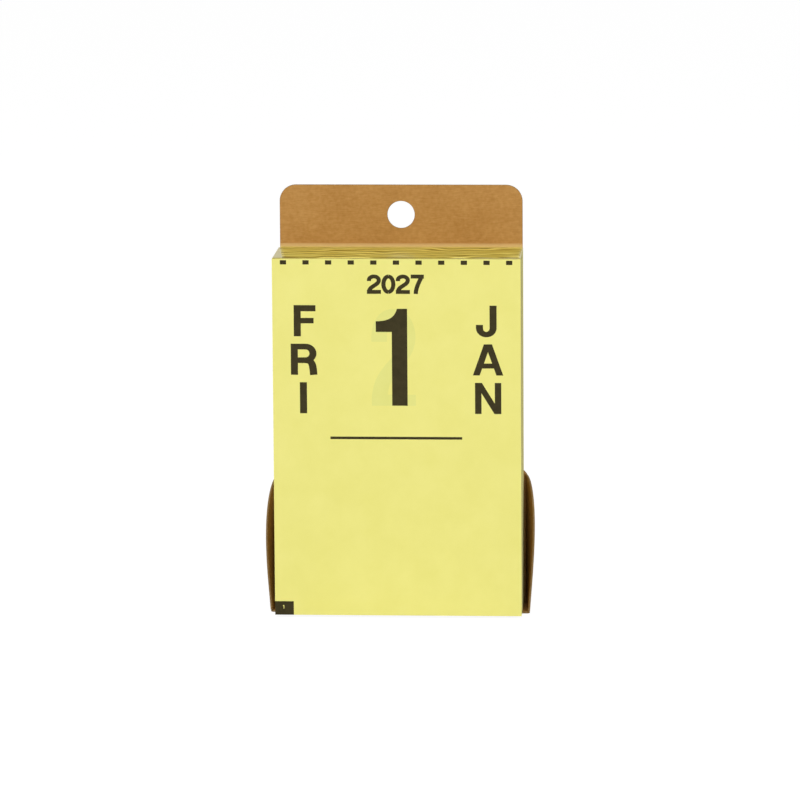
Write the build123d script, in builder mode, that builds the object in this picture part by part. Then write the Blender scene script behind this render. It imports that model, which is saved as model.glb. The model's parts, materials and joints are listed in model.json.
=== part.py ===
"""Tear-off day calendar: a glued pad of day sheets on a folded kraft board with two fold-out wings.

Millimetres, +Z up. The front sheet faces -Y and +X is to the viewer's right. The origin is on the
surface that the calendar stands on, at the middle of its width and of its depth.
"""

import os
from calendar import mdays, month_name
from math import cos, radians, sin, tan

from build123d import *

# Day sheets
SHEET_WIDTH = 75.0
SHEET_HEIGHT = 109.3
SHEET_THICKNESS = 0.062
SHEET_AIR_GAP = 0.006
LIFTING_SHEETS = 3  # the front sheets that are made one by one, because each lifts by itself

# Padding glue along the head of the pad
GLUE_THICKNESS = 0.2
GLUE_SETBACK = 0.5  # from the front of the first sheet that stays down
GLUE_END_INSET = 0.3  # from each side of the pad

# Double-sided tape between the last sheet and the board
TAPE_THICKNESS = 0.1
TAPE_WIDTH = 15.0
TAPE_SIDE_INSET = 5.0
TAPE_END_INSET = 6.0  # from the head and from the foot of the pad

# Backing board
BOARD_THICKNESS = 0.6
BOARD_SIDE_INSET = 0.45  # the tab is this much inside the pad on each side
TAB_HEIGHT = 19.3  # from the head of the pad to the top of the board
TAB_CORNER_RADIUS = 5.0
HANG_HOLE_DIAMETER = 8.3
HANG_HOLE_DROP = 9.15  # from the top of the board to the middle of the hole

# Wings, each an ear that turns about an upright crease and ends just above the bottom panel
WING_HEIGHT = 39.5
WING_REACH = 16.6  # from the crease to the free edge
WING_SHOULDER_HEIGHT = 31.3  # of the quarter ellipse that ends the free edge
WING_SIDE_CLEARANCE = 0.1  # between the pad's side and a wing folded square
WING_FOOT_FLARE = 5.0  # degrees out from square at the foot, as folded
WING_TOP_FLARE = 15.9  # degrees out from square at the top, because the ear is a little twisted
CREASE_BEAD_RADIUS = 0.32  # of the rolled edge on the crease
CREASE_GAP = 0.1  # between the board, its bottom panel and each wing

# Bottom panel, the lower end of the board, folded forward under the pad
PANEL_REACH = WING_REACH  # from the creases, so that its front edge is flush with the wings' feet
PANEL_CORNER_RADIUS = 1.0
PANEL_FOLD_RADIUS = 0.5  # of the outer skin of the fold
PAD_FOOT_GAP = 0.3  # between the panel and the foot of the pad

# Levels and depths that follow from the sizes above
SHEET_PITCH = SHEET_THICKNESS + SHEET_AIR_GAP
SHEET_COUNT = sum(mdays)  # one for each day of a common year
PAD_DEPTH = SHEET_COUNT * SHEET_PITCH
FRONT_Y = -(PAD_DEPTH + TAPE_THICKNESS + BOARD_THICKNESS) / 2
PAD_BACK_Y = FRONT_Y + PAD_DEPTH
BOARD_FRONT_Y = PAD_BACK_Y + TAPE_THICKNESS
BOARD_BACK_Y = BOARD_FRONT_Y + BOARD_THICKNESS
PAD_FOOT_Z = BOARD_THICKNESS + PAD_FOOT_GAP
PAD_HEAD_Z = PAD_FOOT_Z + SHEET_HEIGHT
BOARD_TOP_Z = PAD_HEAD_Z + TAB_HEIGHT
WING_FOOT_Z = BOARD_THICKNESS + CREASE_GAP
WING_TOP_Z = WING_FOOT_Z + WING_HEIGHT
CREASE_X = SHEET_WIDTH / 2 + WING_SIDE_CLEARANCE + CREASE_BEAD_RADIUS
CREASE_Y = BOARD_BACK_Y - CREASE_BEAD_RADIUS


def save(builder, name):
    """Label a finished piece and write it as a node of its own."""
    builder.part.label = name
    export_step(builder.part, f"parts/{name}.step")


def sheet_middle(day):
    """Middle of the sheet for a day of the year, where day 0 is the front sheet."""
    return (0, FRONT_Y + day * SHEET_PITCH + SHEET_THICKNESS / 2, PAD_FOOT_Z + SHEET_HEIGHT / 2)


def sheets(first_day, end_day):
    """One flat sheet for each day from the first up to the end, each a solid of its own."""
    with BuildPart() as stack:
        with Locations(*[sheet_middle(day) for day in range(first_day, end_day)]):
            Box(SHEET_WIDTH, SHEET_THICKNESS, SHEET_HEIGHT)
    return stack


def away_from_crease(side, flare):
    """Level direction from a crease out along its wing, flare degrees out from square."""
    return (side * sin(radians(flare)), -cos(radians(flare)), 0)


def wing(side):
    """A wing on the left (side -1) or the right (side 1), twisted between its foot and its top."""
    middle_flare = (WING_FOOT_FLARE + WING_TOP_FLARE) / 2
    crease_foot = (side * CREASE_X, CREASE_Y, WING_FOOT_Z)
    shoulder_z = WING_HEIGHT - WING_SHOULDER_HEIGHT
    with BuildPart() as ear:
        # The twisted board, made too long at first
        for level, flare in ((WING_FOOT_Z, WING_FOOT_FLARE), (WING_TOP_Z, WING_TOP_FLARE)):
            crease = (side * CREASE_X, CREASE_Y, level)
            with BuildSketch(Plane(origin=crease, x_dir=away_from_crease(side, flare), z_dir=(0, 0, 1))):
                Rectangle(2 * WING_REACH, BOARD_THICKNESS, align=(Align.MIN, Align.CENTER))
        loft(ruled=True)
        # The rolled edge on the crease
        with Locations(crease_foot):
            Cylinder(CREASE_BEAD_RADIUS, WING_HEIGHT, align=(Align.CENTER, Align.CENTER, Align.MIN))
        # The outline, seen square to the middle of the wing
        along = away_from_crease(side, middle_flare)
        with BuildSketch(Plane(origin=crease_foot, x_dir=along, z_dir=(along[1], -along[0], 0))):
            with BuildLine():
                EllipticalCenterArc((0, shoulder_z), WING_REACH, WING_SHOULDER_HEIGHT, arc_size=90)
                Polyline(
                    (0, WING_HEIGHT),
                    (-2 * CREASE_BEAD_RADIUS, WING_HEIGHT),
                    (-2 * CREASE_BEAD_RADIUS, 0),
                    (WING_REACH, 0),
                    (WING_REACH, shoulder_z),
                )
            make_face()
        extrude(amount=WING_REACH, both=True, mode=Mode.INTERSECT)
    return ear


def tape_strip(middle_z):
    """One strip of tape between the last sheet and the board."""
    with BuildPart() as strip:
        with Locations((0, (PAD_BACK_Y + BOARD_FRONT_Y) / 2, middle_z)):
            Box(SHEET_WIDTH - 2 * TAPE_SIDE_INSET, TAPE_THICKNESS, TAPE_WIDTH)
    return strip


os.makedirs("parts", exist_ok=True)

# Backing board: the tab with its hang hole, and a wider foot that carries the two creases
with BuildPart() as backing_board:
    with BuildSketch(Plane.XZ.offset(-BOARD_BACK_Y)):
        with Locations((0, BOARD_THICKNESS)):
            card = Rectangle(
                SHEET_WIDTH - 2 * BOARD_SIDE_INSET,
                BOARD_TOP_Z - BOARD_THICKNESS,
                align=(Align.CENTER, Align.MIN),
            )
            fillet(card.vertices().group_by(Axis.Y)[-1], TAB_CORNER_RADIUS)
            crease_edge = CREASE_X - CREASE_BEAD_RADIUS - CREASE_GAP
            Rectangle(2 * crease_edge, WING_TOP_Z - BOARD_THICKNESS, align=(Align.CENTER, Align.MIN))
        with Locations((0, BOARD_TOP_Z - HANG_HOLE_DROP)):
            Circle(HANG_HOLE_DIAMETER / 2, mode=Mode.SUBTRACT)
    extrude(amount=BOARD_THICKNESS)
save(backing_board, "backing_board")

# Bottom panel: its sides follow the outer faces of the wings' feet
with BuildPart() as bottom_panel:
    with BuildSketch():
        crease_half_width = CREASE_X + BOARD_THICKNESS / 2
        front_half_width = crease_half_width + PANEL_REACH * tan(radians(WING_FOOT_FLARE))
        front_y = CREASE_Y - PANEL_REACH
        with BuildLine():
            Polyline(
                (-crease_half_width, BOARD_BACK_Y),
                (-crease_half_width, CREASE_Y),
                (-front_half_width, front_y),
                (front_half_width, front_y),
                (crease_half_width, CREASE_Y),
                (crease_half_width, BOARD_BACK_Y),
                close=True,
            )
        panel = make_face()
        fillet(panel.vertices().group_by(Axis.Y)[0], PANEL_CORNER_RADIUS)
    extrude(amount=BOARD_THICKNESS)
    fillet(bottom_panel.edges().group_by(Axis.Y)[-1].sort_by(Axis.Z)[0], PANEL_FOLD_RADIUS)
save(bottom_panel, "bottom_panel")

save(wing(-1), "left_wing")
save(wing(1), "right_wing")

# Padding glue, a film over the heads of all the sheets that stay down
with BuildPart() as head_glue:
    glue_front_y = FRONT_Y + LIFTING_SHEETS * SHEET_PITCH + GLUE_SETBACK
    glue_depth = PAD_BACK_Y - SHEET_AIR_GAP - glue_front_y
    with Locations((0, glue_front_y + glue_depth / 2, PAD_HEAD_Z + GLUE_THICKNESS / 2)):
        Box(SHEET_WIDTH - 2 * GLUE_END_INSET, glue_depth, GLUE_THICKNESS)
save(head_glue, "head_glue_film")

save(tape_strip(PAD_HEAD_Z - TAPE_END_INSET - TAPE_WIDTH / 2), "upper_mounting_tape")
save(tape_strip(PAD_FOOT_Z + TAPE_END_INSET + TAPE_WIDTH / 2), "lower_mounting_tape")

# The front sheets one by one, then the rest of the year month by month
for day in range(LIFTING_SHEETS):
    save(sheets(day, day + 1), f"sheet_jan_{day + 1:02d}")
month_start = 0
for month, days in zip(month_name[1:], mdays[1:]):
    month_end = month_start + days
    save(sheets(max(month_start, LIFTING_SHEETS), month_end), f"{month.lower()}_sheets")
    month_start = month_end
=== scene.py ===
"""Looks of a tear-off day calendar, built around its CAD model.

The CAD frame: +Z is up, the front sheet faces -Y and +X is to the viewer's right. Sizes are in
millimetres and angles in degrees. Only the studio around the calendar is in metres.
"""

import json
import math
import random
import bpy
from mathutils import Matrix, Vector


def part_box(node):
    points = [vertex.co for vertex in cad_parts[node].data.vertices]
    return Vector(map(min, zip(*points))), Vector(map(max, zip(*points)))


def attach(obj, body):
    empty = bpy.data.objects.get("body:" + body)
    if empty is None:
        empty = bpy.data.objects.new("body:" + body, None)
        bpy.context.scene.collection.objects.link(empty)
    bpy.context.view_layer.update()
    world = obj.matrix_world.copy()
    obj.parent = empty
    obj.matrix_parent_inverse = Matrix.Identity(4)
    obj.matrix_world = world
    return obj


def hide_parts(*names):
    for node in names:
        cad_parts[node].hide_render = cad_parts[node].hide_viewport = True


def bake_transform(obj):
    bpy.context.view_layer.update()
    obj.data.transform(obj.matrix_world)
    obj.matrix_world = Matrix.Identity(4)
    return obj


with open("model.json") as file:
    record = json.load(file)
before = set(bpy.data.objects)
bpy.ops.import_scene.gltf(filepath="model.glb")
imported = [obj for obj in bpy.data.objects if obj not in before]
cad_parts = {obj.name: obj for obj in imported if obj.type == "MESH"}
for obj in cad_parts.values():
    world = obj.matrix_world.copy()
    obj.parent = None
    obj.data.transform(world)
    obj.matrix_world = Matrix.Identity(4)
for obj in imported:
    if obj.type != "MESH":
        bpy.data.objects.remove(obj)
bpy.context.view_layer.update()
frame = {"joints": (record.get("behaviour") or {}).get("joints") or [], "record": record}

from calendar import mdays, month_name

import bmesh
import bpy
from mathutils import Matrix, Vector, noise
from mathutils.geometry import delaunay_2d_cdt, interpolate_bezier

MM = 0.001


def node_box(node):
    """The low and the high corner of a CAD node, in millimetres."""
    return [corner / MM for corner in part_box(node)]


# The frame
JOINTS = {joint["name"]: joint for joint in frame["joints"]}
HANG_HOLE = next(mount for mount in frame["record"]["mounts"] if mount["name"] == "hang_hole")
SHEET_LOW, SHEET_HIGH = node_box("sheet_jan_01")
BOARD_LOW, BOARD_HIGH = node_box("backing_board")
GLUE_LOW, GLUE_HIGH = node_box("head_glue_film")
SHEET_WIDTH, SHEET_THICKNESS, SHEET_HEIGHT = SHEET_HIGH - SHEET_LOW
BOARD_THICKNESS = BOARD_HIGH.y - BOARD_LOW.y

# Print on a day sheet, placed from the middle of its head
WEEKDAYS = ("FRI", "SAT", "SUN", "MON")  # of the sheets that have print
MONTH = "JAN"
YEAR = "2027"
WEEKDAY_X = -28.0
MONTH_X = 27.6
CAPITAL_TOP = -14.11
CAPITAL_HEIGHT = 9.51
CAPITAL_PITCH = 11.77
UPRIGHT_STROKE = 2.15
LEVEL_STROKE = 1.76
NUMBER_X = -0.9
NUMBER_TOP = -15.14
NUMBER_HEIGHT = 29.6
NUMBER_UPRIGHT = 4.68
NUMBER_LEVEL = 3.4
YEAR_X = -0.14
YEAR_TOP = -4.73
YEAR_HEIGHT = 5.89
YEAR_PITCH = 4.37
YEAR_UPRIGHT = 1.27
YEAR_LEVEL = 1.2
RULE_X = -0.26
RULE_Z = -54.65
RULE_LENGTH = 39.9
RULE_HEIGHT = 0.8
HEAD_DASHES = 11
HEAD_DASH_WIDTH = 1.9
HEAD_DASH_HEIGHT = 1.3
HEAD_DASH_DROP = 0.45
# The third layer is painted shade: the next sheet's number seen through the paper, drawn as darker paper
PRINT_PAPER, PRINT_INK, PRINT_SHOW_THROUGH_SHADE, PRINT_EDGE = range(4)

# Month marks at the foot of the sheets, each month one step further to the right
MONTHS = [name.lower() for name in month_name[1:]]
MARK_WIDTH = 5.7
MARK_HEIGHT = 4.2
MARK_PITCH = SHEET_WIDTH / len(MONTHS)
MARK_NUMBER_X = 0.45 * MARK_WIDTH
MARK_NUMBER_DROP = 1.15
MARK_NUMBER_HEIGHT = 1.15
MARK_NUMBER_STROKE = 0.2

# Sheets that lift, each with the body that carries its head, and their bend below the head
SHEET_CARRIERS = {
    "sheet_jan_01": "sheet_jan_02",
    "sheet_jan_02": "sheet_jan_03",
    "sheet_jan_03": "pad_and_board",
}
BEND_LENGTH = 4.0
BEND_STEPS = 16

# Sheet edges
EDGE_JITTER = 0.05
EDGE_SWAY = 0.05
EDGE_SWAY_WAVES = 0.9  # in a millimetre of the pad's depth
EDGE_SWAY_ROW = 3.1  # of the noise, and each other use of noise has a row of its own
EDGE_LEAN = 0.3  # of the right side, from the front of the pad to its back
EDGE_SEED = 7
FRONT_EDGE_TONE = 0.15

# Sides of a sheet in a stack, counted round it from the plain part of its left side
LEFT_MARK, FOOT_LEFT, FOOT_MARK, FOOT_RIGHT, RIGHT_MARK = range(1, 6)
HEAD_SIDE = 7
STACK_SIDES = 8
STACK_EDGE, STACK_INKED, STACK_PAPER, STACK_HEAD = range(4)

# Padding glue
GLUE_STATIONS = 190  # across the pad
GLUE_RINGS = 96  # from the film's front edge up the board
GLUE_FILLET_RINGS = 12
GLUE_FILLET = 1.3
GLUE_BOARD_GAP = 0.005
GLUE_SIDE_GAP = 0.05
GLUE_RIM_GAP = 0.001  # between the heads and the film's rim
GLUE_RIM_THICKNESS = 0.0005
GLUE_FRONT_RISE = 30  # from the rim to full height, over a thirtieth of the film's depth
GLUE_SIDE_RISE = 120
GLUE_BARE_FRONT = 1.7  # of the heads in front of the film, at its right end
GLUE_BARE_WANDER = 1.3
GLUE_BARE_WAVES = 14  # across the pad
GLUE_BARE_ROW = 7.7
GLUE_BARE_CORNER = 2.6  # of the heads beside the film, at the front of its left end
GLUE_CORNER_WANDER = 0.25
GLUE_CORNER_WAVES = 0.5
GLUE_CORNER_ROW = 2.2
GLUE_RIDGE_PITCH = 4.1
GLUE_RIDGE_HEIGHT = 0.09
GLUE_RIDGE_STRENGTH = 0.75
# Wanders of the ridges: reach, waves in a millimetre along x and along y, row of the noise
GLUE_RIDGE_WANDERS = ((3.4, 0.06, 0.1, 1.7), (1.5, 0.17, 0.25, 5.2))
GLUE_STRENGTH_WANDER = (1.2, 0.09, 0.35, 9.4)

# Kraft board, its bottom panel and its wings: the sizes that the frame doesn't hold
CUT_BEVEL = 0.09
MITRE_LIMIT = 0.5  # keeps a sharp corner of a bevel near its place
BOARD_TAB_INSET = 0.45
BOARD_TAB_RADIUS = 5.0
PANEL_CORNER_RADIUS = 1.0
FOLD_INNER_RADIUS = 0.02
FOLD_STEPS = 5
FOLD_COLUMNS = 16
WING_REACH = 16.6
WING_SHOULDER_HEIGHT = 31.3
WING_FOOT_FLARE = 5.0
WING_ROWS = 24
WING_COLUMNS = 12
FREE_EDGE_STEPS = 6
SHOULDER_STEPS = 30
CREASE_STEPS = 8
CREASE_RISE = 0.9  # of the cut's upper end, from the wing to the board
CARD_FACE, CARD_CUT = range(2)

# Tape
TAPE_TEETH = 12
TAPE_TOOTH_DEPTH = 0.5
TAPE_BEVEL = 0.01

# Studio, in metres
FLOOR_HALF = 3.0
FLOOR_GLOW = 0.93
FLOOR_SHADE = 0.16
FLOOR_BOUNCE = 0.85
WORLD_LIGHT = 0.36
SOFTBOXES = {  # place, width and power
    "front": ((0.0, -1.9, 0.6), 0.9, 5.0),
    "front_left": ((-0.9, -1.1, 0.5), 0.7, 4.9),
    "front_right": ((0.9, -1.1, 0.5), 0.7, 5.0),
    "above": ((0.0, -0.2, 1.1), 0.8, 3.7),
}

# The photograph's camera, with its distance and aim in metres
PHOTO_PIXELS = 800
FOCAL_PIXELS = 5920
SENSOR_MM = 36.0
CAMERA_DISTANCE = 1.8
CAMERA_AZIMUTH = 3.78
CAMERA_ELEVATION = 9.39
CAMERA_ROLL = -0.38
CAMERA_AIM = Vector((0.00011, 0.0, 0.06511))

# Settings of Blender's tools
SHARP_ANGLE = 40
TRIANGLES_INSIDE = 1
MESH_TOLERANCE = 1e-5
MIX_FIRST, MIX_SECOND, MIX_RESULT = 6, 7, 2  # sockets of a mix node for colours
BLACK = (0, 0, 0, 1)
WHITE = (1, 1, 1, 1)


def linear(red, green, blue):
    """A colour written as 0 to 255 on a screen, as Blender's linear colour."""
    shares = [value / 255 for value in (red, green, blue)]
    return (*[s / 12.92 if s <= 0.04045 else ((s + 0.055) / 1.055) ** 2.4 for s in shares], 1.0)


def grey(level):
    """A grey in Blender's linear colour."""
    return (level, level, level, 1)


def smooth_noise(*place):
    """Noise from about -1 to 1 that changes smoothly with the place."""
    return noise.noise(Vector(place))


# Node helpers


def new_material(name, roughness, specular):
    """A material, its node tree and its shader, with the constants set on the shader."""
    made = bpy.data.materials.new(name)
    made.use_nodes = True
    shader = made.node_tree.nodes["Principled BSDF"]
    shader.inputs["Roughness"].default_value = roughness
    shader.inputs["Specular IOR Level"].default_value = specular
    return made, made.node_tree, shader


def add_node(tree, kind, **values):
    """A node whose inputs or settings have the values given."""
    node = tree.nodes.new(kind)
    for name, value in values.items():
        if name in node.inputs:
            node.inputs[name].default_value = value
        else:
            setattr(node, name, value)
    return node


def read_attribute(tree, name, output):
    """A mesh attribute of the piece."""
    return add_node(tree, "ShaderNodeAttribute", attribute_name=name).outputs[output]


def grain(tree, per_mm, detail, stretch=(1, 1, 1)):
    """Noise with about so many spots in a millimetre, fixed to the flat sheet or card."""
    mapping = add_node(tree, "ShaderNodeMapping", Scale=[per_mm / MM * share for share in stretch])
    tree.links.new(read_attribute(tree, "flat_place", "Vector"), mapping.inputs["Vector"])
    texture = add_node(tree, "ShaderNodeTexNoise", Scale=1.0, Detail=detail)
    tree.links.new(mapping.outputs["Vector"], texture.inputs["Vector"])
    return texture.outputs["Fac"]


def weighted(tree, *terms):
    """The sum of sockets, each times its weight."""
    total = None
    for socket, weight in terms:
        step = add_node(tree, "ShaderNodeMath", operation="MULTIPLY_ADD")
        tree.links.new(socket, step.inputs[0])
        step.inputs[1].default_value = weight
        step.inputs[2].default_value = 0.0
        if total is not None:
            tree.links.new(total, step.inputs[2])
        total = step.outputs[0]
    return total


def ramp(tree, factor, *stops):
    """Colours along a factor, from (place, colour) stops."""
    node = tree.nodes.new("ShaderNodeValToRGB")
    elements = node.color_ramp.elements
    while len(elements) < len(stops):
        elements.new(0.5)
    for element, (place, colour) in zip(elements, stops):
        element.position = place
        element.color = colour
    tree.links.new(factor, node.inputs["Fac"])
    return node.outputs["Color"]


def mix_colours(tree, factor, first, second):
    """A colour socket that goes over to a second one, or to a plain colour, by a factor socket."""
    node = add_node(tree, "ShaderNodeMix", data_type="RGBA")
    tree.links.new(factor, node.inputs["Factor"])
    tree.links.new(first, node.inputs[MIX_FIRST])
    if hasattr(second, "links"):
        tree.links.new(second, node.inputs[MIX_SECOND])
    else:
        node.inputs[MIX_SECOND].default_value = second
    return node.outputs[MIX_RESULT]


def roughen(tree, shader, height, depth_mm, strength):
    """Fine relief from a height socket."""
    bump = add_node(tree, "ShaderNodeBump", Strength=strength, Distance=depth_mm * MM)
    tree.links.new(height, bump.inputs["Height"])
    tree.links.new(bump.outputs["Normal"], shader.inputs["Normal"])


# Materials


def kraft_material(name, dark, middle, light):
    """Uncoated kraft board: clouds, mottle, level fibres and a few dark flecks."""
    made, tree, shader = new_material(name, roughness=0.85, specular=0.1)
    clouds = grain(tree, per_mm=0.08, detail=2.0)
    mottle = grain(tree, per_mm=0.9, detail=4.0)
    fibres = grain(tree, per_mm=2.2, stretch=(0.22, 1, 1.6), detail=4.0)
    tone = weighted(tree, (clouds, 0.25), (mottle, 0.4), (fibres, 0.35))
    colour = ramp(tree, tone, (0.36, dark), (0.5, middle), (0.64, light))
    flecks = grain(tree, per_mm=3.4, stretch=(0.35, 1, 1.3), detail=1.0)
    fleck_share = ramp(tree, flecks, (0.69, BLACK), (0.76, grey(0.55)))
    colour = mix_colours(tree, fleck_share, colour, dark)
    tree.links.new(colour, shader.inputs["Base Color"])
    relief = weighted(tree, (mottle, 0.5), (fibres, 0.5))
    roughen(tree, shader, relief, depth_mm=0.05, strength=0.35)
    return made


def paper_material(name, dark, light):
    """Thin uncoated paper: a slight cloud and a fine tooth."""
    made, tree, shader = new_material(name, roughness=0.75, specular=0.12)
    clouds = grain(tree, per_mm=0.12, detail=3.0)
    tooth = grain(tree, per_mm=5.0, detail=3.0)
    tone = weighted(tree, (clouds, 0.6), (tooth, 0.4))
    tree.links.new(ramp(tree, tone, (0.36, dark), (0.64, light)), shader.inputs["Base Color"])
    roughen(tree, shader, tooth, depth_mm=0.012, strength=0.4)
    return made


def ink_material():
    """Dense dark print, a little uneven where the paper's tooth shows."""
    made, tree, shader = new_material("print_ink", roughness=0.5, specular=0.12)
    clouds = grain(tree, per_mm=0.5, detail=2.0)
    tooth = grain(tree, per_mm=6.0, detail=2.0)
    density = weighted(tree, (clouds, 0.5), (tooth, 0.5))
    colour = ramp(tree, density, (0.35, linear(49, 43, 19)), (0.65, linear(61, 54, 29)))
    tree.links.new(colour, shader.inputs["Base Color"])
    return made


def edge_material(name, dark, light):
    """Cut edges of stacked sheets: each sheet has a tone of its own, and cutting leaves faint streaks."""
    made, tree, shader = new_material(name, roughness=0.8, specular=0.1)
    tone = read_attribute(tree, "sheet_tone", "Fac")
    streaks = grain(tree, per_mm=0.6, stretch=(0.15, 12, 0.15), detail=2.0)
    level = weighted(tree, (tone, 0.55), (streaks, 0.45))
    tree.links.new(ramp(tree, level, (0.28, dark), (0.72, light)), shader.inputs["Base Color"])
    return made


def glue_material():
    """Clear padding glue over the sheets' heads: painted shade where its ridges dip, painted highlight where
    they rise, and tan where it climbs the board.
    """
    made, tree, shader = new_material("padding_glue", roughness=0.42, specular=0.25)
    height = read_attribute(tree, "ridge", "Fac")
    lines = grain(tree, per_mm=0.5, stretch=(0.08, 7, 1), detail=3.0)
    level = weighted(tree, (height, 0.85), (lines, 0.15))
    # The colour follows the ridges' height: the darker low parts are painted shade and the lighter high parts
    # a painted highlight, over the glue's own olive and faint streaks
    furrow_shade, film_middle, crest_highlight = linear(134, 114, 18), linear(200, 181, 74), linear(242, 226, 118)
    film = ramp(tree, level, (0.08, furrow_shade), (0.5, film_middle), (0.92, crest_highlight))
    climb = read_attribute(tree, "climb", "Fac")
    foot, fillet_middle, top = linear(208, 184, 98), linear(204, 170, 102), linear(190, 147, 87)
    fillet = ramp(tree, climb, (0.1, foot), (0.5, fillet_middle), (1.0, top))
    on_board = ramp(tree, climb, (0.0, BLACK), (0.25, WHITE))
    tree.links.new(mix_colours(tree, on_board, film, fillet), shader.inputs["Base Color"])
    roughen(tree, shader, lines, depth_mm=0.03, strength=0.5)
    return made


def tape_material():
    """Pale double-sided tape with a faint tissue."""
    made, tree, shader = new_material("mounting_tape", roughness=0.5, specular=0.4)
    tissue = grain(tree, per_mm=1.5, stretch=(1, 1, 0.4), detail=4.0)
    colour = ramp(tree, tissue, (0.35, linear(214, 206, 186)), (0.65, linear(236, 230, 214)))
    tree.links.new(colour, shader.inputs["Base Color"])
    roughen(tree, shader, tissue, depth_mm=0.02, strength=0.4)
    return made


KRAFT = kraft_material("kraft_board", linear(171, 123, 63), linear(181, 133, 72), linear(191, 144, 82))
KRAFT_CUT = kraft_material("kraft_cut_edge", linear(126, 98, 60), linear(144, 115, 74), linear(162, 132, 90))
PAPER = paper_material("yellow_paper", linear(232, 226, 129), linear(236, 230, 136))
# Paper with the next sheet's number showing through it, as painted shade
SHOW_THROUGH_SHADE = paper_material("next_number_shade_through_paper", linear(223, 221, 128), linear(228, 226, 136))
INK = ink_material()
EDGES = edge_material("sheet_edges", linear(181, 174, 112), linear(226, 219, 156))
HEADS = edge_material("sheet_heads", linear(206, 199, 158), linear(230, 224, 190))
FRONT_HEADS = edge_material("front_sheet_heads", linear(170, 153, 70), linear(214, 198, 108))
INKED_EDGES = edge_material("inked_sheet_edges", linear(92, 82, 48), linear(140, 128, 78))
GLUE = glue_material()
TAPE = tape_material()
SHEET_MATERIALS = (PAPER, INK, SHOW_THROUGH_SHADE, EDGES)
KRAFT_MATERIALS = (KRAFT, KRAFT_CUT)


# Meshes


def add_object(name, data):
    """An object in the scene, made from a mesh, a light or a camera."""
    made = bpy.data.objects.new(name, data)
    bpy.context.scene.collection.objects.link(made)
    return made


def piece(name, points, faces, slots, materials, flat=None, **floats):
    """An object from points in millimetres, with its flat place and other point values as attributes."""
    mesh = bpy.data.meshes.new(name)
    mesh.from_pydata([Vector(point) * MM for point in points], [], faces)
    for material in materials:
        mesh.materials.append(material)
    mesh.polygons.foreach_set("material_index", slots)
    place = mesh.attributes.new("flat_place", "FLOAT_VECTOR", "POINT")
    place.data.foreach_set("vector", [value * MM for point in flat or points for value in point])
    for label, values in floats.items():
        mesh.attributes.new(label, "FLOAT", "POINT").data.foreach_set("value", values)
    shape = bmesh.new()
    shape.from_mesh(mesh)
    bmesh.ops.recalc_face_normals(shape, faces=shape.faces)
    shape.to_mesh(mesh)
    shape.free()
    mesh.shade_smooth()
    mesh.set_sharp_from_angle(angle=math.radians(SHARP_ANGLE))
    return add_object(name, mesh)


def anticlockwise(loop):
    """The loop with its inside on the left."""
    area = sum(a[0] * b[1] - b[0] * a[1] for a, b in zip(loop, loop[1:] + loop[:1]))
    return loop if area > 0 else loop[::-1]


def arc(centre, radii, start, end, steps=14):
    """Points along an ellipse from start to end, in degrees."""
    turns = [math.radians(start + (end - start) * i / steps) for i in range(steps + 1)]
    return [(centre[0] + radii[0] * math.cos(a), centre[1] + radii[1] * math.sin(a)) for a in turns]


def bezier(start, first, second, end, steps=14):
    """Points along one cubic curve."""
    knots = [Vector((*point, 0)) for point in (start, first, second, end)]
    return [(point.x, point.y) for point in interpolate_bezier(*knots, steps + 1)]


def joined(loops):
    """The corners of several loops in one list, and each loop as places in that list."""
    corners, rings = [], []
    for loop in loops:
        rings.append(list(range(len(corners), len(corners) + len(loop))))
        corners += loop
    return corners, rings


def triangulate(corners, cuts, rings):
    """Triangles inside rings of corners, with cuts as edges.

    Returns the points, the triangles, the corners that each point was and the rings round each triangle.
    """
    points, _, triangles, owners, _, sources = delaunay_2d_cdt(
        [Vector(corner) for corner in corners], cuts, rings, TRIANGLES_INSIDE, MESH_TOLERANCE)
    return points, triangles, owners, sources


def tube(rows, size):
    """Faces between rows of points, each row a closed loop with so many points."""
    turns = [(i, (i + 1) % size) for i in range(size)]
    starts = range(0, (rows - 1) * size, size)
    return [(start + a, start + b, start + b + size, start + a + size) for start in starts for a, b in turns]


# Signs of a plain bold face in a box of width w and height h, with upright strokes v and level strokes t


def bar(left, bottom, right, top):
    """A plain box."""
    return [(left, bottom), (right, bottom), (right, top), (left, top)]


def stroke(path, v, t):
    """Outline of a pen stroke along a path."""
    left, right = [], []
    for i, point in enumerate(path):
        along = Vector(path[min(i + 1, len(path) - 1)]) - Vector(path[max(i - 1, 0)])
        along.normalize()
        half = math.hypot(v * along.y, t * along.x) / 2
        left.append((point[0] - along.y * half, point[1] + along.x * half))
        right.append((point[0] + along.y * half, point[1] - along.x * half))
    return left + right[::-1]


def capital_a(w, h, v, t):
    foot, shoulder = 0.225 * w, 0.367 * w
    rise = [(0, 0), (foot, 0), (shoulder + foot, h), (shoulder, h)]
    fall = [(w - x, y) for x, y in rise]
    return [rise, fall, bar(0.2 * w, 0.224 * h, 0.8 * w, 0.385 * h)]


def capital_f(w, h, v, t):
    return [bar(0, 0, v, h), bar(0, h - 1.07 * t, w, h), bar(0, 0.415 * h, 0.91 * w, 0.591 * h)]


def capital_i(w, h, v, t):
    return [bar((w - v) / 2, 0, (w + v) / 2, h)]


def capital_j(w, h, v, t):
    reach, bowl = (w - v) / 2, 0.29 * h
    hook = arc((w / 2, bowl), (reach, bowl - 0.4 * t), 0, -180, steps=20)
    return [stroke([(w - v / 2, h)] + hook + [(v / 2, 0.385 * h)], v, 0.93 * t)]


def capital_m(w, h, v, t):
    slant = 1.05 * v
    fall = [(0, h), (slant, h), (w / 2 + slant * 0.42, 0), (w / 2 - slant * 0.42, 0)]
    rise = [(w - x, y) for x, y in fall]
    return [bar(0, 0, v, h), bar(w - v, 0, w, h), fall, rise]


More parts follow.
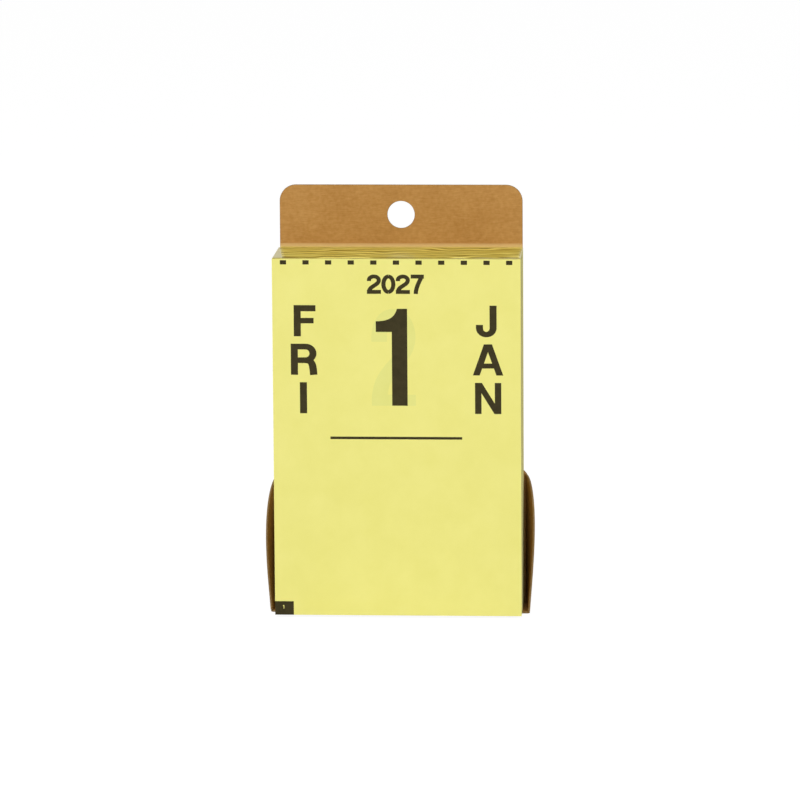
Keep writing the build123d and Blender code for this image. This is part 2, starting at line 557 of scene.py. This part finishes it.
def capital_n(w, h, v, t):
    stem, slant = 0.91 * v, 0.97 * v
    return [bar(0, 0, stem, h), bar(w - stem, 0, w, h), [(0, h), (slant, h), (w, 0), (w - slant, 0)]]


def capital_o(w, h, v, t):
    centre, radii = (w / 2, h / 2), ((w - v) / 2, (h - t) / 2)
    left, right = arc(centre, radii, 90, 270, steps=24), arc(centre, radii, -90, 90, steps=24)
    return [stroke(left, v, t), stroke(right, v, t)]


def capital_r(w, h, v, t):
    waist, turn_x = 0.47 * h, 0.56 * w
    bowl = ((h - t / 2) - waist) / 2
    turn = arc((turn_x, waist + bowl), (0.975 * w - v / 2 - turn_x, bowl), 90, -90, steps=18)
    loop = [(v / 2, h - t / 2)] + turn + [(v / 2, waist)]
    leg = bezier((0.5 * w, waist), (0.82 * w, waist), (0.83 * w, 0.36 * h), (0.865 * w, 0), steps=16)
    return [bar(0, 0, v, h), stroke(loop, v, t), stroke(leg, 1.05 * v, t)]


def capital_s(w, h, v, t):
    left, right, middle, swell = v / 2, w - v / 2, h / 2, 0.02 * h
    crown, base = h - t / 2 + swell, t / 2 - swell
    top = bezier((right, 0.7 * h), (right, crown), (left, crown), (left, 0.72 * h))
    spine = bezier((left, 0.72 * h), (left, middle), (right, middle + swell), (right, 0.28 * h))
    bottom = bezier((right, 0.28 * h), (right, base), (left, base), (left, 0.31 * h))
    return [stroke(top + spine[1:] + bottom[1:], v, t)]


def capital_t(w, h, v, t):
    return [bar(0, h - t, w, h), bar((w - v) / 2, 0, (w + v) / 2, h)]


def capital_u(w, h, v, t):
    reach, bowl = (w - v) / 2, 0.32 * h
    turn = arc((w / 2, bowl), (reach, bowl - t / 2), 180, 360, steps=20)
    return [stroke([(v / 2, h)] + turn + [(w - v / 2, h)], v, t)]


def figure_1(w, h, v, t):
    shoulder, armpit = 0.871 * h, 0.761 * h
    flag = bezier((w - 0.66 * v, h), (w - 0.79 * v, 0.922 * h), (0.89 * (w - v), shoulder), (0, shoulder))
    return [[(w - v, 0), (w, 0), (w, h)] + flag + [(0, armpit), (w - v, armpit)]]


def figure_2(w, h, v, t):
    left, right = v / 2, w - v / 2
    crown = arc((w / 2, 0.71 * h), ((w - v) / 2, 0.29 * h - t / 2), 180, 0, steps=20)
    fall = bezier((right, 0.71 * h), (right, 0.44 * h), (left, 0.4 * h), (left, t / 2))
    return [stroke([(left, 0.66 * h)] + crown + fall[1:], v, t), bar(0, 0, w, t)]


def figure_3(w, h, v, t):
    reach = (w - v) / 2
    upper = arc((w / 2, 0.735 * h), (0.94 * reach, 0.265 * h - t / 2), 180, -90, steps=24)
    lower = arc((w / 2, 0.285 * h), (reach, 0.285 * h - t / 2), 90, -180, steps=24)
    return [stroke(upper, v, t), stroke(lower, v, t)]


def figure_4(w, h, v, t):
    stem, shelf = 0.58 * w, 0.2 * h
    slant = [(0, shelf + t), (0.95 * v, shelf + t), (stem + v, h), (stem, h)]
    return [bar(stem, 0, stem + v, h), bar(0, shelf, w, shelf + t), slant]


def figure_7(w, h, v, t):
    start, foot = (w - 0.5 * v, h - t / 2), 0.37 * w
    fall = bezier(start, (0.66 * w, 0.66 * h), (foot + 0.1 * v, 0.36 * h), (foot, 0), steps=16)
    return [bar(0, h - t, w, h), stroke(fall, 1.02 * v, t)]


GLYPHS = {
    "A": capital_a, "F": capital_f, "I": capital_i, "J": capital_j, "M": capital_m, "N": capital_n,
    "O": capital_o, "R": capital_r, "S": capital_s, "T": capital_t, "U": capital_u,
    "0": capital_o, "1": figure_1, "2": figure_2, "3": figure_3, "4": figure_4, "7": figure_7,
}
CAPITAL_WIDTHS = {  # as shares of the height
    "A": 0.966, "F": 0.697, "I": 0.226, "J": 0.659, "M": 1.02, "N": 0.834,
    "O": 0.94, "R": 0.84, "S": 0.8, "T": 0.78, "U": 0.82,
}
CAPITAL_SHIFTS = {"F": 0.29, "I": -0.26, "J": -0.48}  # to the right, from the middle of the column
NUMBER_WIDTHS = {"1": 9.5, "2": 13.3, "3": 13.3, "4": 13.9}
NUMBER_SHIFTS = {"1": -0.58}
YEAR_WIDTHS = {"0": 4.25, "2": 4.25, "7": 3.97}


def glyph(sign, centre, top, w, h, v, t):
    """A sign's outlines, placed by the middle and the top of its box."""
    return [[(x + centre - w / 2, y + top - h) for x, y in loop] for loop in GLYPHS[sign](w, h, v, t)]


def column(word, centre):
    """A word set downwards, one capital below the other."""
    loops = []
    for i, sign in enumerate(word):
        size = (CAPITAL_WIDTHS[sign] * CAPITAL_HEIGHT, CAPITAL_HEIGHT, UPRIGHT_STROKE, LEVEL_STROKE)
        middle = centre + CAPITAL_SHIFTS.get(sign, 0.0)
        loops += glyph(sign, middle, CAPITAL_TOP - i * CAPITAL_PITCH, *size)
    return loops


def number(sign):
    """The large figure of the day."""
    size = (NUMBER_WIDTHS[sign], NUMBER_HEIGHT, NUMBER_UPRIGHT, NUMBER_LEVEL)
    return glyph(sign, NUMBER_X + NUMBER_SHIFTS.get(sign, 0.0), NUMBER_TOP, *size)


def year():
    """The year in small figures at the head."""
    first = YEAR_X - YEAR_PITCH * (len(YEAR) - 1) / 2
    loops = []
    for i, sign in enumerate(YEAR):
        size = (YEAR_WIDTHS[sign], YEAR_HEIGHT, YEAR_UPRIGHT, YEAR_LEVEL)
        loops += glyph(sign, first + i * YEAR_PITCH, YEAR_TOP, *size)
    return loops


def head_dashes():
    """An even row of short dashes just below the head."""
    step = SHEET_WIDTH / HEAD_DASHES
    middles = [(i - (HEAD_DASHES - 1) / 2) * step for i in range(HEAD_DASHES)]
    half, top, bottom = HEAD_DASH_WIDTH / 2, -HEAD_DASH_DROP, -HEAD_DASH_DROP - HEAD_DASH_HEIGHT
    return [bar(x - half, bottom, x + half, top) for x in middles]


def day_print(day):
    """Everything printed on a January sheet, and the painted shade of the next day's number seen through it,
    as (what, outline) from the lowest layer to the highest.
    """
    left, foot = -SHEET_WIDTH / 2, -SHEET_HEIGHT
    rule = bar(RULE_X - RULE_LENGTH / 2, RULE_Z - RULE_HEIGHT / 2,
               RULE_X + RULE_LENGTH / 2, RULE_Z + RULE_HEIGHT / 2)
    mark = bar(left, foot, left + MARK_WIDTH, foot + MARK_HEIGHT)
    mark_top = foot + MARK_HEIGHT - MARK_NUMBER_DROP
    mark_size = (2 * MARK_NUMBER_STROKE, MARK_NUMBER_HEIGHT, MARK_NUMBER_STROKE, MARK_NUMBER_STROKE)
    mark_number = glyph("1", left + MARK_NUMBER_X, mark_top, *mark_size)
    next_day = number(str(day + 1)) if str(day + 1) in NUMBER_WIDTHS else []
    inked = column(WEEKDAYS[day - 1], WEEKDAY_X) + number(str(day)) + column(MONTH, MONTH_X)
    inked += year() + head_dashes() + [rule, mark]
    # The next day's number, painted as shade seen through the paper
    layers = [(PRINT_SHOW_THROUGH_SHADE, loop) for loop in next_day]
    layers += [(PRINT_INK, loop) for loop in inked]
    layers += [(PRINT_PAPER, loop) for loop in mark_number]
    return layers


# Sheets of paper


def printed_sheet(name, front_y, day):
    """One thin sheet whose front carries the print as faces of its own, with level cuts where it bends."""
    left, right, foot = -SHEET_WIDTH / 2, SHEET_WIDTH / 2, -SHEET_HEIGHT
    layers = [(PRINT_PAPER, bar(left, foot, right, 0))] + day_print(day)
    corners, rings = joined([anticlockwise(loop) for _, loop in layers])
    cuts = []
    for i in range(1, BEND_STEPS + 1):
        cuts.append((len(corners), len(corners) + 1))
        drop = -BEND_LENGTH * i / BEND_STEPS
        corners += [(left, drop), (right, drop)]
    flat, triangles, _, sources = triangulate(corners, cuts, rings)
    count = len(flat)
    points = [(p.x, y, SHEET_HIGH.z + p.y) for y in (front_y, front_y + SHEET_THICKNESS) for p in flat]
    faces = [tuple(face) for face in triangles]
    faces += [tuple(i + count for i in reversed(face)) for face in triangles]
    slots = [layers[max(source)][0] for source in sources]
    slots += [PRINT_PAPER] * len(triangles)
    sides = {}
    for face in triangles:
        for a, b in zip(face, list(face[1:]) + [face[0]]):
            sides[frozenset((a, b))] = None if frozenset((a, b)) in sides else (a, b)
    rim = [pair for pair in sides.values() if pair]
    faces += [(b, a, a + count, b + count) for a, b in rim]
    slots += [PRINT_EDGE] * len(rim)
    return piece(name, points, faces, slots, SHEET_MATERIALS, sheet_tone=[FRONT_EDGE_TONE] * len(points))


def month_stack(name, node, first_sheet, month, days):
    """The stacked sheets of a month as one skin: each sheet's cut edges, stepped a little from the next."""
    low, high = node_box(node)
    pitch = (high.y - low.y - SHEET_THICKNESS) / (days - 1)
    drawn = random.Random(EDGE_SEED + month)
    mark_left = low.x + month * MARK_PITCH
    mark_right = min(mark_left + MARK_WIDTH, high.x)
    mark_top = low.z + MARK_HEIGHT
    points, tones = [], []
    for sheet in range(first_sheet, days):
        front = low.y + sheet * pitch
        tone = drawn.random()
        sway = 0.5 + 0.5 * smooth_noise(front * EDGE_SWAY_WAVES, EDGE_SWAY_ROW, 0.0)
        lean = EDGE_LEAN * (front - SHEET_LOW.y) / (BOARD_LOW.y - SHEET_LOW.y)
        left = low.x + EDGE_SWAY * sway + EDGE_JITTER * drawn.random()
        right = high.x - lean - EDGE_SWAY * (1 - sway) - EDGE_JITTER * drawn.random()
        foot = low.z + EDGE_JITTER * drawn.random()
        corners = [(left, high.z), (left, mark_top), (left, foot), (max(left, mark_left), foot),
                   (min(right, mark_right), foot), (right, foot), (right, mark_top), (right, high.z)]
        for y in (front, front + SHEET_THICKNESS):
            points += [(x, y, z) for x, z in corners]
            tones += [tone] * STACK_SIDES
    inked = {FOOT_MARK}
    if month == 0:
        inked |= {LEFT_MARK, FOOT_LEFT}
    if month == len(MONTHS) - 1:
        inked |= {FOOT_RIGHT, RIGHT_MARK}
    side_slots = [STACK_INKED if side in inked else STACK_EDGE for side in range(STACK_SIDES)]
    side_slots[HEAD_SIDE] = STACK_HEAD
    rows = len(points) // STACK_SIDES
    last = len(points) - STACK_SIDES
    faces = tube(rows, STACK_SIDES)
    faces += [tuple(range(STACK_SIDES)), tuple(range(last, len(points)))[::-1]]
    slots = side_slots * (rows - 1) + [STACK_PAPER] * 2
    materials = (EDGES, INKED_EDGES, PAPER, HEADS if month else FRONT_HEADS)
    return piece(name, points, faces, slots, materials, sheet_tone=tones)


def build_sheets():
    """The first three sheets, each a piece of its own, the rest of the year by months, and the fourth sheet
    with its print.
    """
    for day, (node, carrier) in enumerate(SHEET_CARRIERS.items(), 1):
        sheet = printed_sheet(f"{node}_print", node_box(node)[0].y, day)
        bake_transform(sheet)
        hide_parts(node)
    for month, name in enumerate(MONTHS):
        node = f"{name}_sheets"
        lifting = 0 if month else len(SHEET_CARRIERS)
        first_sheet = 0 if month else 1  # behind the fourth sheet
        stack = month_stack(f"{name}_stack", node, first_sheet, month, mdays[month + 1] - lifting)
        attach(stack, "pad_and_board")
        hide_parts(node)
    sheet = printed_sheet("sheet_jan_04_print", node_box("january_sheets")[0].y, len(SHEET_CARRIERS) + 1)
    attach(sheet, "pad_and_board")


# Padding glue


def glue_ridge(x, y):
    """Height of the glue's long wavy ridges at a place, from 0 to 1."""
    drift = sum(reach * smooth_noise(x * waves_x, y * waves_y, row)
                for reach, waves_x, waves_y, row in GLUE_RIDGE_WANDERS)
    wave = math.cos(2 * math.pi * (y + drift) / GLUE_RIDGE_PITCH)
    reach, waves_x, waves_y, row = GLUE_STRENGTH_WANDER
    strength = GLUE_RIDGE_STRENGTH + reach * smooth_noise(x * waves_x, y * waves_y, row)
    return 0.5 + 0.5 * wave * max(0.0, min(1.0, strength))


def glue_section(share, rim_z):
    """The film's upper side at a share of its width, from its front up the board: (place, ridge, climb)."""
    board_face = BOARD_LOW.y - GLUE_BOARD_GAP
    tab_half = BOARD_HIGH.x - BOARD_TAB_INSET - GLUE_SIDE_GAP
    thickness = GLUE_HIGH.z - GLUE_LOW.z
    film_rings = GLUE_RINGS - GLUE_FILLET_RINGS
    wander = GLUE_BARE_WANDER * abs(smooth_noise(share * GLUE_BARE_WAVES, GLUE_BARE_ROW, 0.0))
    front = GLUE_LOW.y + (GLUE_BARE_FRONT * share + wander)
    section = []
    for ring in range(GLUE_RINGS + 1):
        depth = min(ring / film_rings, 1.0)
        y = front + depth * (board_face - GLUE_FILLET - front)
        wander = GLUE_CORNER_WANDER * smooth_noise(0.0, y * GLUE_CORNER_WAVES, GLUE_CORNER_ROW) * (1 - depth)
        left = -tab_half + GLUE_BARE_CORNER * (1 - depth) + wander
        x = left + share * (tab_half - left)
        ridge = glue_ridge(x, y)
        rise = min(1.0, GLUE_FRONT_RISE * depth, GLUE_SIDE_RISE * share, GLUE_SIDE_RISE * (1 - share))
        z = rim_z + (thickness - GLUE_RIDGE_HEIGHT + GLUE_RIDGE_HEIGHT * ridge) * math.sqrt(rise)
        climb = max(0.0, (ring - film_rings) / GLUE_FILLET_RINGS)
        turn = math.radians(90 * climb)
        y += GLUE_FILLET * math.sin(turn)
        z += (GLUE_FILLET - thickness / 2) * (1 - math.cos(turn))
        section.append(((x, y, z), ridge, climb))
    return section


def build_glue():
    """The glue film: a wavy skin over the heads that runs up the board in a small fillet."""
    rim_z = GLUE_LOW.z + GLUE_RIM_GAP
    underside = rim_z - GLUE_RIM_THICKNESS
    upper = []
    for station in range(GLUE_STATIONS + 1):
        upper += glue_section(station / GLUE_STATIONS, rim_z)
    count = len(upper)
    points = [place for place, _, _ in upper] + [(x, y, underside) for (x, y, _), _, _ in upper]
    ridges = [ridge for _, ridge, _ in upper] + [0.0] * count
    climbs = [climb for _, _, climb in upper] + [0.0] * count
    size = GLUE_RINGS + 1
    faces = []
    for start in range(0, count - size, size):
        for a in range(start, start + GLUE_RINGS):
            quad = (a, a + size, a + size + 1, a + 1)
            faces += [quad, tuple(corner + count for corner in reversed(quad))]
    front, back = range(0, count, size), range(GLUE_RINGS, count, size)
    left_end, right_end = range(size), range(count - size, count)
    for rim in (front, back, left_end, right_end):
        faces += [(a, b, b + count, a + count) for a, b in zip(rim, rim[1:])]
    film = piece("padding_glue_film", points, faces, [0] * len(faces), (GLUE,), ridge=ridges, climb=climbs)
    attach(film, "pad_and_board")
    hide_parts("head_glue_film")


# Kraft board, wings and tape


def moved_in(loop, distance):
    """A loop moved to its left, into the card."""
    moved = []
    for before, here, after in zip(loop[-1:] + loop[:-1], loop, loop[1:] + loop[:1]):
        first = (Vector(here) - Vector(before)).normalized()
        second = (Vector(after) - Vector(here)).normalized()
        left = Vector((-first.y - second.y, first.x + second.x))
        left /= max(MITRE_LIMIT, left.length_squared / 2)
        moved.append((here[0] + left.x * distance, here[1] + left.y * distance))
    return moved


def card(name, loops, thickness, place, bevel, materials, inner=()):
    """A card from an outline and its holes, with eased cut edges.

    The function place turns (u, v, w) into the frame. A card that it bends has points on its faces too,
    the inner ones.
    """
    half = thickness / 2
    flat, starts = [], []
    for w, inset in ((-half, bevel), (bevel - half, 0.0), (half - bevel, 0.0), (half, bevel)):
        starts.append(len(flat))
        flat += [(u, v, w) for loop in loops for u, v in moved_in(loop, inset)]
        if inset:
            flat += [(u, v, w) for u, v in inner]
    face_size = starts[1]
    _, rings = joined(loops)
    faces = []
    for lower, upper in zip(starts, starts[1:]):
        for ring in rings:
            sides = zip(ring, ring[1:] + ring[:1])
            faces += [(lower + a, lower + b, upper + b, upper + a) for a, b in sides]
    slots = [CARD_CUT] * len(faces)
    outline_and_holes = [rings[0]] + [ring[::-1] for ring in rings[1:]]
    for start in (starts[0], starts[-1]):
        corners = [(u, v) for u, v, _ in flat[start:start + face_size]]
        _, triangles, owners, sources = triangulate(corners, [], outline_and_holes)
        kept = [face for face, source in zip(triangles, sources) if list(source) == [0]]
        faces += [tuple(start + owners[i][0] for i in face) for face in kept]
        slots += [CARD_FACE] * len(kept)
    points = [place(*point) for point in flat]
    return piece(name, points, faces, slots, materials, flat=[(u, w, v) for u, v, w in flat])


def upright(middle_y):
    """The place function of a flat card that stands upright at a depth."""
    return lambda u, v, w: (u, middle_y - w, v)


def rounded(before, corner, after, radius, steps=8):
    """A corner of an outline as an arc."""
    corner = Vector(corner)
    back = (Vector(before) - corner).normalized()
    on = (Vector(after) - corner).normalized()
    half_angle = back.angle(on) / 2
    centre = corner + (back + on).normalized() * (radius / math.sin(half_angle))
    start = corner + back * (radius / math.tan(half_angle)) - centre
    sweep = start.angle_signed(corner + on * (radius / math.tan(half_angle)) - centre)
    turns = [Matrix.Rotation(-sweep * i / steps, 2) for i in range(steps + 1)]
    return [tuple(centre + turn @ start) for turn in turns]


def build_board():
    """The backing board: a wider foot between the creases, a tab with round corners and the hang hole."""
    crease_half = BOARD_HIGH.x
    half = crease_half - BOARD_TAB_INSET
    top, corner = BOARD_HIGH.z, BOARD_TAB_RADIUS
    foot = BOARD_LOW.z + FOLD_INNER_RADIUS
    crease_end = node_box("left_wing")[1].z + CREASE_RISE
    shoulder = crease_end + BOARD_TAB_INSET
    outline = [(-crease_half, foot), (crease_half, foot), (crease_half, crease_end), (half, shoulder)]
    outline += arc((half - corner, top - corner), (corner, corner), 0, 90)
    outline += arc((corner - half, top - corner), (corner, corner), 90, 180)
    outline += [(-half, shoulder), (-crease_half, crease_end)]
    radius = HANG_HOLE["dims"]["r_mm"]
    hole_x, _, hole_z = [value / MM for value in HANG_HOLE["pos_m"]]
    hole = arc((hole_x, hole_z), (radius, radius), 360, 0, steps=64)[:-1]
    place = upright((BOARD_LOW.y + BOARD_HIGH.y) / 2)
    board = card("backing_board_card", [outline, hole], BOARD_THICKNESS, place, CUT_BEVEL, KRAFT_MATERIALS)
    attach(board, "pad_and_board")
    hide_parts("backing_board")


def build_panel():
    """The bottom panel under the pad, and the fold at its back that joins it to the board."""
    low, high = node_box("bottom_panel")
    crease = Vector(JOINTS["right_wing_fold"]["pos_m"]) / MM
    half = BOARD_THICKNESS / 2
    back_half = crease.x + half
    front_half = back_half + (crease.y - low.y) * math.tan(math.radians(WING_FOOT_FLARE))
    bend_radius = half + FOLD_INNER_RADIUS
    bend_y, bend_z = high.y - half - bend_radius, low.z + half + bend_radius
    flat_end = bend_y - low.y

    def place(u, v, w):
        turn = max(0.0, v - flat_end) / bend_radius
        radius = bend_radius - w
        return (u, low.y + min(v, flat_end) + radius * math.sin(turn), bend_z - radius * math.cos(turn))

    levels = [flat_end + bend_radius * math.pi / 2 * i / FOLD_STEPS for i in range(FOLD_STEPS + 1)]
    columns = [back_half * (2 * j / FOLD_COLUMNS - 1) for j in range(1, FOLD_COLUMNS)]
    front_left, front_right = (-front_half, 0), (front_half, 0)
    outline = rounded((-back_half, flat_end), front_left, front_right, PANEL_CORNER_RADIUS)
    outline += rounded(front_left, front_right, (back_half, flat_end), PANEL_CORNER_RADIUS)
    outline += [(back_half, v) for v in levels] + [(-back_half, v) for v in reversed(levels)]
    inner = [(u, v) for v in levels[:-2] for u in columns]
    panel = card("bottom_panel_card", [outline], BOARD_THICKNESS, place, CUT_BEVEL, KRAFT_MATERIALS, inner)
    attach(panel, "pad_and_board")
    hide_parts("bottom_panel")


def wing_frame(body):
    """A wing's joint, the place of its crease, the level of its foot, and its height."""
    joint = JOINTS[f"{body}_fold"]
    foot_z, top_z = [corner.z for corner in node_box(body)]
    return joint, Vector(joint["pos_m"]) / MM, foot_z, top_z - foot_z


def wing_edge(v, height):
    """How far a wing reaches from its crease at a level."""
    above = max(0.0, v - (height - WING_SHOULDER_HEIGHT)) / WING_SHOULDER_HEIGHT
    return WING_REACH * math.sqrt(max(0.0, 1 - above * above))


def wing_flare(joint, v, height):
    """How far a wing stands out from square at a level, in radians, because it is twisted."""
    foot_flare = math.radians(WING_FOOT_FLARE)
    top_flare = math.radians(90 - joint["range_deg"][1])
    return foot_flare + (top_flare - foot_flare) * v / height


def wing_outline(height):
    """A wing's outline from its crease outwards: a straight free edge that ends in a quarter ellipse."""
    shoulder = height - WING_SHOULDER_HEIGHT
    free_edge = [(WING_REACH, shoulder * i / FREE_EDGE_STEPS) for i in range(FREE_EDGE_STEPS)]
    free_edge += arc((0, shoulder), (WING_REACH, WING_SHOULDER_HEIGHT), 0, 90, SHOULDER_STEPS)
    crease = [(0, height * (1 - i / WING_ROWS)) for i in range(1, WING_ROWS)]
    return [(0, 0)] + free_edge + crease


def build_wing(side, body):
    """One wing, on the left (side -1) or the right (side 1)."""
    joint, crease, foot_z, height = wing_frame(body)

    def place(u, v, w):
        flare = wing_flare(joint, v, height)
        sine, cosine = math.sin(flare), math.cos(flare)
        return (crease.x + side * (u * sine + w * cosine), crease.y - u * cosine + w * sine, foot_z + v)

    rows = [height * i / WING_ROWS for i in range(1, WING_ROWS)]
    inner = [(wing_edge(v, height) * j / WING_COLUMNS, v) for v in rows for j in range(1, WING_COLUMNS)]
    wing = card(f"{body}_card", [wing_outline(height)], BOARD_THICKNESS, place,
                CUT_BEVEL, KRAFT_MATERIALS, inner)
    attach(wing, body)
    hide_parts(body)


def build_crease(side, body):
    """The strip of board round a wing's crease, bent to the wing's flare at each level."""
    joint, crease, foot_z, height = wing_frame(body)
    half = BOARD_THICKNESS / 2
    gap = crease.x * side - BOARD_HIGH.x
    points = []
    for row in range(WING_ROWS + 1):
        v = height * row / WING_ROWS
        fold = math.pi / 2 - wing_flare(joint, v, height)
        turns = [fold * i / CREASE_STEPS for i in range(CREASE_STEPS + 1)]
        # In plan: the board's edge, the outer skin round the fold, and the inner corner
        plan = [(-gap, half)] + [(half * math.sin(a), half * math.cos(a)) for a in turns]
        plan += [(-half * math.tan(fold / 2), -half), (-gap, -half)]
        rise = CREASE_RISE / (half + gap) if row == WING_ROWS else 0.0
        points += [(crease.x + side * x, crease.y + y, foot_z + v + rise * (half - x)) for x, y in plan]
    size = len(plan)
    faces = tube(WING_ROWS + 1, size)
    slots = [CARD_FACE] * len(faces) + [CARD_CUT] * 2
    faces += [tuple(range(size)), tuple(range(len(points) - size, len(points)))]
    strip = piece(f"{body}_crease", points, faces, slots, KRAFT_MATERIALS)
    middle_flare = wing_flare(joint, height / 2, height)
    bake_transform(strip)


def build_tape(node):
    """A strip of double-sided tape with toothed ends."""
    low, high = node_box(node)
    step = (high.z - low.z) / TAPE_TEETH
    right = [(high.x - TAPE_TOOTH_DEPTH * (i % 2), low.z + i * step) for i in range(TAPE_TEETH + 1)]
    left = [(low.x + TAPE_TOOTH_DEPTH * (i % 2), high.z - i * step) for i in range(TAPE_TEETH + 1)]
    place = upright((low.y + high.y) / 2)
    strip = card(f"{node}_strip", [right + left], high.y - low.y, place, TAPE_BEVEL, (TAPE, TAPE))
    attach(strip, "pad_and_board")
    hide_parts(node)


# Floor, light and camera


def seen_directly(tree):
    """1 for rays that show the background itself: from the camera, from gloss and through glass."""
    path = tree.nodes.new("ShaderNodeLightPath")
    first = add_node(tree, "ShaderNodeMath", operation="MAXIMUM")
    both = add_node(tree, "ShaderNodeMath", operation="MAXIMUM")
    tree.links.new(path.outputs["Is Camera Ray"], first.inputs[0])
    tree.links.new(path.outputs["Is Glossy Ray"], first.inputs[1])
    tree.links.new(first.outputs[0], both.inputs[0])
    tree.links.new(path.outputs["Is Transmission Ray"], both.inputs[1])
    return both.outputs[0]


def light_and_show(tree, lighting, shown, output_kind):
    """Let one shader light the calendar and another be what is seen directly."""
    mix = tree.nodes.new("ShaderNodeMixShader")
    output = tree.nodes.new(output_kind)
    tree.links.new(seen_directly(tree), mix.inputs[0])
    tree.links.new(lighting.outputs[0], mix.inputs[1])
    tree.links.new(shown.outputs[0], mix.inputs[2])
    tree.links.new(mix.outputs[0], output.inputs["Surface"])


def build_world():
    """Even light all round, in front of a white background."""
    world = bpy.data.worlds.new("studio")
    bpy.context.scene.world = world
    world.use_nodes = True
    tree = world.node_tree
    tree.nodes.clear()
    light = add_node(tree, "ShaderNodeBackground", Color=WHITE, Strength=WORLD_LIGHT)
    white = add_node(tree, "ShaderNodeBackground", Color=WHITE, Strength=1.0)
    light_and_show(tree, light, white, "ShaderNodeOutputWorld")


def build_floor():
    """A plain white floor that keeps a faint shadow."""
    material = bpy.data.materials.new("studio_floor")
    material.use_nodes = True
    tree = material.node_tree
    tree.nodes.clear()
    bounce = add_node(tree, "ShaderNodeBsdfDiffuse", Color=grey(FLOOR_BOUNCE))
    shade = add_node(tree, "ShaderNodeBsdfDiffuse", Color=grey(FLOOR_SHADE))
    glow = add_node(tree, "ShaderNodeEmission", Color=WHITE, Strength=FLOOR_GLOW)
    shown = tree.nodes.new("ShaderNodeAddShader")
    tree.links.new(shade.outputs[0], shown.inputs[0])
    tree.links.new(glow.outputs[0], shown.inputs[1])
    light_and_show(tree, bounce, shown, "ShaderNodeOutputMaterial")
    mesh = bpy.data.meshes.new("floor")
    corners = bar(-FLOOR_HALF, -FLOOR_HALF, FLOOR_HALF, FLOOR_HALF)
    mesh.from_pydata([(x, y, 0) for x, y in corners], [], [(0, 1, 2, 3)])
    mesh.materials.append(material)
    floor = add_object("floor", mesh)


def build_lights():
    """Square softboxes that look at the middle of the calendar: three in front of it and one above."""
    for name, (place, width, power) in SOFTBOXES.items():
        data = bpy.data.lights.new(name, "AREA")
        data.size = width
        data.energy = power
        lamp = add_object(name, data)
        lamp.location = place
        lamp.rotation_euler = (CAMERA_AIM - Vector(place)).to_track_quat("-Z", "Y").to_euler()


def build_camera():
    """The photograph's camera, fitted to the corners of the pad and the board."""
    azimuth, elevation = math.radians(CAMERA_AZIMUTH), math.radians(CAMERA_ELEVATION)
    back = Vector((math.sin(azimuth) * math.cos(elevation), -math.cos(azimuth) * math.cos(elevation),
                   math.sin(elevation)))
    right = Vector((math.cos(azimuth), math.sin(azimuth), 0))
    up = back.cross(right)
    turn = Matrix((right, up, back)).transposed() @ Matrix.Rotation(math.radians(CAMERA_ROLL), 3, "Z")
    data = bpy.data.cameras.new("photo_camera")
    data.sensor_width = SENSOR_MM
    data.lens = FOCAL_PIXELS * SENSOR_MM / PHOTO_PIXELS
    camera = add_object("photo_camera", data)
    camera.matrix_world = Matrix.Translation(CAMERA_AIM + CAMERA_DISTANCE * back) @ turn.to_4x4()
    bpy.context.scene.camera = camera


build_sheets()
build_glue()
build_board()
build_panel()
for side, body in ((-1, "left_wing"), (1, "right_wing")):
    build_wing(side, body)
    build_crease(side, body)
build_tape("upper_mounting_tape")
build_tape("lower_mounting_tape")
build_floor()
build_world()
build_lights()
build_camera()
bpy.context.scene.view_settings.view_transform = "Standard"
